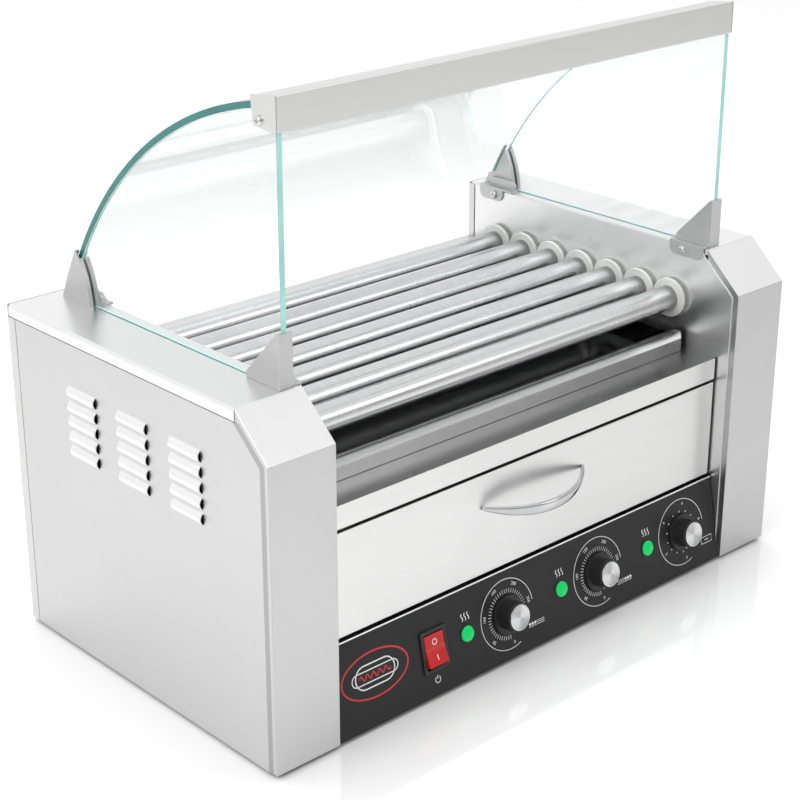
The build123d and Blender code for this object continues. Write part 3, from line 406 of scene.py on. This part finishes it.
for side in SIDES:
    shell(f"{side}_outer_panel", 0.25, STEEL_SIDE, STEEL_LOUVRE_PAINTED_HIGHLIGHT, STEEL_EDGE_PAINTED_SHADE, pick=louvre_face)
    shell(f"{side}_top_cover", 0.5, STEEL_PAINTED_LIGHT, segments=3)
    shell(f"{side}_front_fascia", 0.6, STEEL_FRONT_PAINTED_SHADE, STEEL_PAINTED_LIGHT, pick=sloping_face, segments=3)
    shell(f"{side}_inner_wall", 0.3, STEEL_PAINTED_LIGHT)
shell("front_clamps", 0.8, CAST, segments=3)
shell("rear_clamps", 0.7, CAST, segments=3)
shell("drip_shelf", 0.4, STEEL_X, SHELF_TOP_PAINTED_SHADE, pick=sloping_face)
shell("top_rail", 0.25, STEEL_X)
shell("drawer_box", 0.3, STEEL_X)
shell("drawer_front", 0.2, STEEL_X)
shell("control_panel", 0.2, PANEL_BLACK)
shell("switch_housing", 0.6, BLACK, segments=3)
shell("switch_rocker", 0.7, RED, segments=3)
shell("gear_motor", 0.6, MOTOR_GREY)
shell("motor_bracket", 0.3, ZINC)
shell("thermostats", 0.6, CREAM)
shell("feet", 0.8, RUBBER, segments=3)
for knob in KNOBS:
    shell(f"knob_{knob}", 0.22, BLACK)

_tray_low, _tray_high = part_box("drip_tray")


def tray_face(centre, normal):
    """The well is darker than the rolled rim: it takes a near-black copy of the tray steel, painted shade and
    painted reflection, and the rim a darker copy, painted shade.
    """
    in_well = centre.y > _tray_low.y + 20.5 * MM or centre.z < _tray_low.z + 9 * MM
    return 1 if in_well and centre.y > _tray_low.y + 4 * MM else 0


shell("drip_tray", 0.9, TRAY_RIM_PAINTED_SHADE, TRAY_WELL_PAINTED_SHADE, pick=tray_face, segments=3)

_glass_low, _glass_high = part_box("curved_glass")


def side_glass_face(centre, normal):
    return 0 if abs(normal.x) > 0.9 else 1


def curved_glass_face(centre, normal):
    if abs(normal.x) > 0.9:
        # the curved ends take the dark copy of the edge colour: painted shade
        return 2
    low_edge = normal.z < -0.7 and centre.z < _glass_low.z + 6 * MM
    top_edge = normal.y < -0.7 and centre.z > _glass_high.z - 20 * MM
    return 1 if low_edge or top_edge else 0


for side in SIDES:
    shell(f"{side}_side_glass", 0.5, GLASS, GLASS_EDGE, pick=side_glass_face)
shell("curved_glass", 0.5, GLASS, GLASS_EDGE, GLASS_EDGE_PAINTED_SHADE, pick=curved_glass_face)

dress(ROLLER, *ROLLERS)
dress(ZINC, *SPROCKETS)
dress(ZINC, "motor_sprocket", "motor_shaft", "drive_chain", "rod_brackets", "drawer_runners")
dress(SCREW, "guard_screws", "case_screws")
dress(STEEL, "back_panel")
dress(ZINC, "base_pan")
dress(PTFE, "roller_seals")
dress(ELEMENT, "heating_rods", "warmer_element")
dress(BLACK, "cord_gland")


# ---------------------------------------------------------------- handle
HANDLE_TALL = 10.4 * MM
HANDLE_THICK = 4.6 * MM
HANDLE_STEPS = 72
HANDLE_RIM = 24


def make_handle():
    """Chrome bow: a crescent that swells in the middle and ends in flat tips on the drawer."""
    low, high, middle = span("drawer_handle")
    droop = math.atan2(high.z - low.z - 5 * MM, high.y - low.y) * 0.62
    out = Vector((0, -math.cos(droop), -math.sin(droop)))
    rise = Vector((0, -math.sin(droop), math.cos(droop)))
    half = (high.x - low.x) / 2
    reach = (high.y - low.y) / math.cos(droop) - HANDLE_THICK * 0.62
    foot = Vector((middle.x, high.y, high.z - 4.0 * MM))
    radius = (half ** 2 + reach ** 2) / (2 * reach)
    sweep = math.asin(half / radius)
    mesh = bpy.data.meshes.new("drawer_handle_bow")
    build = bmesh.new()
    rings = []
    for step in range(HANDLE_STEPS + 1):
        share = 2 * step / HANDLE_STEPS - 1
        angle = share * sweep
        radial = RIGHT * math.sin(angle) + out * math.cos(angle)
        centre = foot + out * (reach - radius) + radial * radius
        swell = 1 - abs(share) ** 2.4
        tall = 2.6 * MM + (HANDLE_TALL - 2.6 * MM) * swell
        thick = HANDLE_THICK * (0.55 + 0.45 * swell)
        ring = []
        for turn in range(HANDLE_RIM):
            around = 2 * math.pi * turn / HANDLE_RIM
            c, s = math.cos(around), math.sin(around)
            wide = math.copysign(abs(c) ** 0.7, c) * thick / 2
            high_part = math.copysign(abs(s) ** 0.8, s) * tall / 2
            point = centre + radial * wide + rise * high_part
            point.y = min(point.y, high.y)
            point.y = max(point.y, low.y)
            ring.append(build.verts.new(point))
        rings.append(ring)
    for first, second in zip(rings, rings[1:]):
        for turn in range(HANDLE_RIM):
            after = (turn + 1) % HANDLE_RIM
            build.faces.new((first[turn], first[after], second[after], second[turn]))
    build.faces.new(list(reversed(rings[0])))
    build.faces.new(rings[-1])
    bmesh.ops.recalc_face_normals(build, faces=build.faces)
    build.to_mesh(mesh)
    build.free()
    for polygon in mesh.polygons:
        polygon.use_smooth = True
    bow = new_piece("drawer_handle_bow", mesh, "drawer_body", CHROME)
    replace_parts(bow, "drawer_handle")


make_handle()


# ---------------------------------------------------------------- turned pieces
def lathe(name, profile, steps, body, material, matrix):
    """Turned piece: (radius, height) profile round the local Z axis."""
    build = bmesh.new()
    rings = []
    for reach, height in profile:
        ring = []
        for step in range(steps):
            angle = 2 * math.pi * step / steps
            ring.append(build.verts.new((reach * math.cos(angle), reach * math.sin(angle), height)))
        rings.append(ring)
    for first, second in zip(rings, rings[1:]):
        for step in range(steps):
            after = (step + 1) % steps
            build.faces.new((first[step], first[after], second[after], second[step]))
    build.faces.new(rings[-1])
    build.faces.new(list(reversed(rings[0])))
    bmesh.ops.recalc_face_normals(build, faces=build.faces)
    mesh = bpy.data.meshes.new(name)
    build.to_mesh(mesh)
    build.free()
    for polygon in mesh.polygons:
        polygon.use_smooth = True
    mesh.materials.append(material)
    piece = bpy.data.objects.new(name, mesh)
    bpy.context.scene.collection.objects.link(piece)
    piece.matrix_world = matrix
    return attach(piece, body)


# ---------------------------------------------------------------- knob caps
def make_knob_cap(name, x):
    """Spun aluminium disc with a rolled edge; its own axis is the knob's."""
    node = f"knob_cap_{name}"
    low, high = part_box(node)
    radius = (high.x - low.x) / 2
    top = max(vertex.co.dot(OUT) for vertex in NODES[node].data.vertices) - _PANEL_OUT
    base = top - 1.5 * MM
    profile = [(radius, base), (radius, top - 0.5 * MM), (radius - 0.2 * MM, top - 0.15 * MM)]
    profile += [(radius - 0.6 * MM, top), (radius - 1.2 * MM, top - 0.12 * MM)]
    profile += [(radius * 0.5, top - 0.2 * MM), (radius * 0.12, top - 0.22 * MM)]
    turned = [(reach, out - top) for reach, out in profile]
    matrix = PANEL_MATRIX @ Matrix.Translation((x, 0, top))
    cap = lathe(f"knob_cap_{name}_spun", turned, 72, f"knob_{name}_body", SPUN, matrix)
    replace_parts(cap, node)


for name, x in zip(KNOBS, DIAL_X):
    make_knob_cap(name, x)


# ---------------------------------------------------------------- pilot lamps
LAMP_STEP = -46.0 * MM
LAMP_RADIUS = 7.7 * MM


def make_lamp(number, x):
    """Faceted green lens in a slim black bezel, with its barrel behind the panel."""
    matrix = PANEL_MATRIX @ Matrix.Translation((x, 0, 0))
    r = LAMP_RADIUS
    bezel = [(r - 1.3 * MM, -14 * MM), (r - 1.3 * MM, 0), (r, 0), (r, 0.5 * MM), (r - 0.4 * MM, 0.9 * MM)]
    bezel += [(r - 0.9 * MM, 0.9 * MM), (r - 1.1 * MM, 0.3 * MM)]
    ring = lathe(f"lamp_{number}_bezel", bezel, 48, "frame", BLACK, matrix)
    lens = [(r - 1.15 * MM, 0.2 * MM), (r - 1.15 * MM, 1.3 * MM), (r - 1.5 * MM, 1.9 * MM)]
    for step in range(1, 9):
        share = step / 9
        ripple = 0.12 * MM * (step % 2)
        dome = 1.3 * MM * math.sin(share * math.pi / 2)
        lens.append(((r - 1.5 * MM) * (1 - share), 1.9 * MM + dome - ripple))
    cap = lathe(f"lamp_{number}_lens", lens, 48, "frame", GREEN, matrix)
    return ring, cap


for number, x in enumerate(DIAL_X, 1):
    ring, lens = make_lamp(number, x + LAMP_STEP)
    if number == 1:
        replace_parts(lens, "pilot_lamps")


# ---------------------------------------------------------------- printed marks
PRINT_HIGH = 0.06 * MM


class Print:
    """Flat marks on the control panel, as thin raised ink in one mesh."""

    def __init__(self):
        self.build = bmesh.new()

    def polygon(self, points):
        corners = [self.build.verts.new((x * MM, up * MM, 0)) for x, up in points]
        self.build.faces.new(corners)

    def stroke(self, points, width, closed=False):
        """Line of even width through the points."""
        count = len(points)
        lefts, rights = [], []
        for index, (x, up) in enumerate(points):
            before = points[index - 1] if index or closed else points[index]
            after = points[(index + 1) % count] if index < count - 1 or closed else points[index]
            dx, dy = after[0] - before[0], after[1] - before[1]
            length = math.hypot(dx, dy) or 1.0
            nx, ny = -dy / length * width / 2, dx / length * width / 2
            lefts.append(self.build.verts.new(((x + nx) * MM, (up + ny) * MM, 0)))
            rights.append(self.build.verts.new(((x - nx) * MM, (up - ny) * MM, 0)))
        for index in range(count if closed else count - 1):
            after = (index + 1) % count
            self.build.faces.new((rights[index], rights[after], lefts[after], lefts[index]))

    def text(self, words, size, x, up, turn=0.0):
        curve = bpy.data.curves.new("ink", "FONT")
        curve.body = words
        curve.size = size * MM
        curve.align_x = "CENTER"
        curve.align_y = "CENTER"
        curve.resolution_u = 3
        holder = bpy.data.objects.new("ink", curve)
        bpy.context.scene.collection.objects.link(holder)
        bpy.context.view_layer.update()
        flat = bpy.data.meshes.new_from_object(holder.evaluated_get(bpy.context.evaluated_depsgraph_get()))
        flat.transform(Matrix.Translation((x * MM, up * MM, 0)) @ Matrix.Rotation(turn, 4, "Z"))
        self.build.from_mesh(flat)
        bpy.data.objects.remove(holder)
        bpy.data.curves.remove(curve)
        bpy.data.meshes.remove(flat)

    def finish(self, name, material, body, matrix):
        made = bmesh.ops.extrude_face_region(self.build, geom=self.build.faces[:])
        tops = [item for item in made["geom"] if isinstance(item, bmesh.types.BMVert)]
        bmesh.ops.translate(self.build, verts=tops, vec=(0, 0, PRINT_HIGH))
        bmesh.ops.recalc_face_normals(self.build, faces=self.build.faces)
        mesh = bpy.data.meshes.new(name)
        self.build.to_mesh(mesh)
        self.build.free()
        mesh.materials.append(material)
        piece = bpy.data.objects.new(name, mesh)
        bpy.context.scene.collection.objects.link(piece)
        piece.matrix_world = matrix
        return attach(piece, body)


def arc(x, up, radius, start, end, steps=48):
    """Points of an arc, angles in degrees anticlockwise from the right."""
    points = []
    for step in range(steps + 1):
        angle = math.radians(start + (end - start) * step / steps)
        points.append((x + radius * math.cos(angle), up + radius * math.sin(angle)))
    return points


DIAL_OFF = -80.0          # degrees: the pointer's rest position
DIAL_SWEEP = 270.0        # degrees clockwise from off to full
RING = 29.9
TICKS = 36


def print_dial(ink, x, labels, coarse=False):
    """Scale round a knob: an open ring, a fan of ticks and the numbers."""
    full = DIAL_OFF - DIAL_SWEEP
    ink.stroke(arc(x, 0, RING, DIAL_OFF + 12, full - 4, 96), 0.55)
    tick_count = 10 if coarse else TICKS
    for tick in range(tick_count + 1):
        angle = math.radians(DIAL_OFF - 8 - (DIAL_SWEEP - 8) * tick / tick_count)
        inner = 18.2
        outer = inner + (1.2 if coarse else 3.4)
        width = 1.1 if coarse else 0.55 - 0.25 * tick / tick_count
        ends = [(x + r * math.cos(angle), r * math.sin(angle)) for r in (inner, outer)]
        ink.stroke(ends, width)
    for index, label in enumerate(labels):
        angle = DIAL_OFF - DIAL_SWEEP * index / (len(labels) - 1)
        place = math.radians(angle)
        ink.text(label, 3.9, x + 25.6 * math.cos(place), 25.6 * math.sin(place), place - math.pi / 2)


def heat_mark(ink, x, up, size=1.0):
    """Three rising waves."""
    for column in (-1, 0, 1):
        points = []
        for step in range(17):
            share = step / 16
            wave = math.sin(share * 2 * math.pi) * 0.8 * size
            points.append((x + column * 3.4 * size + wave, up + (share - 0.5) * 6.4 * size))
        ink.stroke(points, 0.75 * size)


def roller_mark(ink, x, up, filled):
    """Row of roller ends; the filled ones are those that a dial heats."""
    for index in range(6):
        centre = x + (index - 2.5) * 3.1
        if index in filled:
            ink.polygon(arc(centre, up, 1.25, 0, 345, 15))
        else:
            ink.stroke(arc(centre, up, 1.1, 0, 345, 15), 0.35, closed=True)
    ink.stroke([(x - 9.2, up - 2.3), (x + 9.2, up - 2.3)], 0.4)


def drawer_mark(ink, x, up):
    """Drawer with a bar handle."""
    corners = [(x - 7, up - 3), (x + 7, up - 3), (x + 7, up + 3), (x - 7, up + 3)]
    ink.stroke(corners + corners[:1], 0.55)
    ink.stroke([(x - 2.5, up), (x + 2.5, up)], 0.7)


def power_mark(ink, x, up):
    """Open ring with a bar."""
    ink.stroke(arc(x, up, 2.7, 125, 415, 28), 0.65)
    ink.stroke([(x, up + 0.4), (x, up + 3.7)], 0.65)


def sausage_mark(ink, x, up, half, high):
    """Plain outline of a sausage in a bun; its wavy line of sauce is drawn by sauce_mark."""
    bun = arc(x - half + high, up, high, 90, 270, 24) + arc(x + half - high, up, high, -90, 90, 24)
    ink.stroke(bun, 1.1, closed=True)
    inner = high * 0.52
    reach = half + 3.5
    filling = arc(x - reach + inner, up, inner, 90, 270, 20) + arc(x + reach - inner, up, inner, -90, 90, 20)
    ink.stroke(filling, 0.9, closed=True)


def sauce_mark(ink, x, up, half):
    points = []
    for step in range(81):
        share = step / 80
        points.append((x + (2 * share - 1) * half, up + math.sin(share * 10 * math.pi) * 2.1))
    ink.stroke(points, 1.1)


MARK_X = -184.0
MARK_UP = 3.0


def print_panel():
    ink = Print()
    dials = [x / MM for x in DIAL_X]
    for x in dials[:2]:
        print_dial(ink, x, ("0", "50", "100", "150", "200", "250"))
    print_dial(ink, dials[2], ("0", "2", "4", "6", "8"), coarse=True)
    for x in dials:
        heat_mark(ink, x + LAMP_STEP / MM, 14.5)
    roller_mark(ink, dials[0] + 31.5, -17.5, (0, 1, 2))
    roller_mark(ink, dials[1] + 31.5, -17.5, (3, 4, 5))
    drawer_mark(ink, dials[2] + 33, -17.5)
    switch_x = JOINTS["rocker_tip"]["pos_m"][0] / MM
    power_mark(ink, switch_x, -25.5)
    sausage_mark(ink, MARK_X, MARK_UP, 20, 9.5)
    ink.finish("panel_print", INK, "frame", PANEL_MATRIX)
    red = Print()
    sauce_mark(red, MARK_X, MARK_UP, 16)
    oval = [(x * 34 + MARK_X, up * 18.5 + MARK_UP) for x, up in arc(0, 0, 1, 0, 357.5, 95)]
    red.stroke(oval, 1.5, closed=True)
    red.finish("panel_print_red", INK_RED, "frame", PANEL_MATRIX)


print_panel()


def print_rocker():
    """Ring and bar on the rocker's two halves."""
    pivot = Vector(JOINTS["rocker_tip"]["pos_m"])
    tilt = math.radians(-8)
    for name, sign, marks in (("off", 1, "ring"), ("on", -1, "bar")):
        slope = tilt + math.atan2(1.6, 13.0) * sign
        matrix = PANEL_MATRIX.copy()
        matrix.translation = pivot
        matrix = matrix @ Matrix.Rotation(tilt, 4, "X") @ Matrix.Translation((0, sign * 6.4 * MM, 4.25 * MM))
        matrix = matrix @ Matrix.Rotation(slope - tilt, 4, "X")
        ink = Print()
        if marks == "ring":
            ink.stroke(arc(0, 0, 2.3, 0, 345, 24), 0.7, closed=True)
        else:
            ink.stroke([(0, -2.3), (0, 2.3)], 0.8)
        ink.finish(f"rocker_{name}_mark", INK, "rocker_body", matrix)


print_rocker()


def flange_top(node, x):
    """Height of a knob's flange above the panel, from the knob's outermost vertices."""
    heights = []
    for vertex in NODES[node].data.vertices:
        place = vertex.co - on_panel(x, 0)
        if math.hypot(place.dot(RIGHT), place.dot(UP)) > 14 * MM:
            heights.append(place.dot(OUT))
    return max(heights)


def print_pointers():
    """White arrow on each knob's flange, pointing at the scale's off end."""
    for name, x in zip(KNOBS, DIAL_X):
        ink = Print()
        angle = math.radians(DIAL_OFF)
        along = (math.cos(angle), math.sin(angle))
        across = (-along[1], along[0])

        def at(reach, aside):
            return reach * along[0] + aside * across[0], reach * along[1] + aside * across[1]

        ink.polygon([at(12.9, -1.2), at(16.3, -0.3), at(16.3, 0.3), at(12.9, 1.2)])
        matrix = PANEL_MATRIX @ Matrix.Translation((x, 0, flange_top(f"knob_{name}", x)))
        ink.finish(f"knob_{name}_pointer", INK, f"knob_{name}_body", matrix)


print_pointers()


def make_panel_trim():
    """Bright bead along the control panel's top edge."""
    panel = NODES["control_panel"].data.vertices
    top = max(vertex.co.dot(UP) for vertex in panel) - PANEL_ORIGIN.dot(UP)
    half = max(vertex.co.x for vertex in panel) - 0.4 * MM
    build = bmesh.new()
    outline = [(top - 1.1 * MM, 0), (top - 1.1 * MM, 0.4 * MM), (top - 0.2 * MM, 0.5 * MM)]
    outline += [(top, 0.1 * MM), (top, 0)]
    rings = []
    for x in (-half, half):
        rings.append([build.verts.new(on_panel(x, up, out)) for up, out in outline])
    for index in range(len(outline)):
        after = (index + 1) % len(outline)
        build.faces.new((rings[0][index], rings[0][after], rings[1][after], rings[1][index]))
    build.faces.new(rings[0])
    build.faces.new(list(reversed(rings[1])))
    bmesh.ops.recalc_face_normals(build, faces=build.faces)
    mesh = bpy.data.meshes.new("panel_bead")
    build.to_mesh(mesh)
    build.free()
    new_piece("panel_bead", mesh, "frame", ALUMINIUM)


make_panel_trim()


# ---------------------------------------------------------------- stage
def make_floor():
    mesh = bpy.data.meshes.new("floor")
    size = 6.0
    corners = [(-size, -size, 0), (size, -size, 0), (size, size, 0), (-size, size, 0)]
    mesh.from_pydata(corners, [], [(0, 1, 2, 3)])
    floor = bpy.data.objects.new("floor", mesh)
    bpy.context.scene.collection.objects.link(floor)
    material, tree, shader = new_material("floor_white", (0.86, 0.86, 0.86), 0.07)
    shader.inputs["Specular IOR Level"].default_value = 1.0
    mesh.materials.append(material)


def area_light(name, place, target, size, power, colour=(1, 1, 1)):
    data = bpy.data.lights.new(name, "AREA")
    data.shape = "RECTANGLE"
    data.size, data.size_y = size
    data.energy = power
    data.color = colour
    light = bpy.data.objects.new(name, data)
    light.location = place
    aim = Vector(target) - Vector(place)
    light.rotation_euler = aim.to_track_quat("-Z", "Y").to_euler()
    bpy.context.scene.collection.objects.link(light)
    return light


def make_world():
    """White studio: bright overhead and behind, a darker strip low down in front."""
    world = bpy.data.worlds.new("studio")
    bpy.context.scene.world = world
    world.use_nodes = True
    tree = world.node_tree
    back = tree.nodes["Background"]
    coords = tree.nodes.new("ShaderNodeTexCoord")
    split = tree.nodes.new("ShaderNodeSeparateXYZ")
    link(tree, coords.outputs["Generated"], split.inputs[0])
    lift = tree.nodes.new("ShaderNodeMath")
    lift.operation = "MULTIPLY_ADD"
    lift.inputs[1].default_value = 0.55
    link(tree, split.outputs["Y"], lift.inputs[0])
    link(tree, split.outputs["Z"], lift.inputs[2])
    height = ramp(tree, lift.outputs[0], [(0.0, 0.50), (0.14, 0.52), (0.40, 0.90), (0.58, 1.0), (1.0, 1.0)])
    link(tree, height, back.inputs["Color"])
    back.inputs["Strength"].default_value = 1.06


def make_camera():
    data = bpy.data.cameras.new("camera")
    data.sensor_width = 36
    data.lens = 84.67
    camera = bpy.data.objects.new("camera", data)
    azimuth = math.radians(42.68)
    drop = math.radians(22.679)
    view = Vector((math.sin(azimuth) * math.cos(drop), math.cos(azimuth) * math.cos(drop), -math.sin(drop)))
    camera.location = (-1.0164, -1.0818, 0.7926)
    camera.rotation_euler = view.to_track_quat("-Z", "Y").to_euler()
    bpy.context.scene.collection.objects.link(camera)
    bpy.context.scene.camera = camera


make_floor()
make_world()
make_camera()
area_light("key", (-2.1, -0.4, 1.5), (0, 0, 0.15), (1.4, 1.2), 16)
area_light("fill", (1.6, -2.2, 1.6), (0, 0, 0.15), (1.0, 1.0), 8)
top = area_light("top", (0, 0.4, 2.6), (0, 0, 0.2), (2.4, 1.6), 34)
top.visible_glossy = False
top.visible_transmission = False
bpy.context.scene.view_settings.view_transform = "Standard"
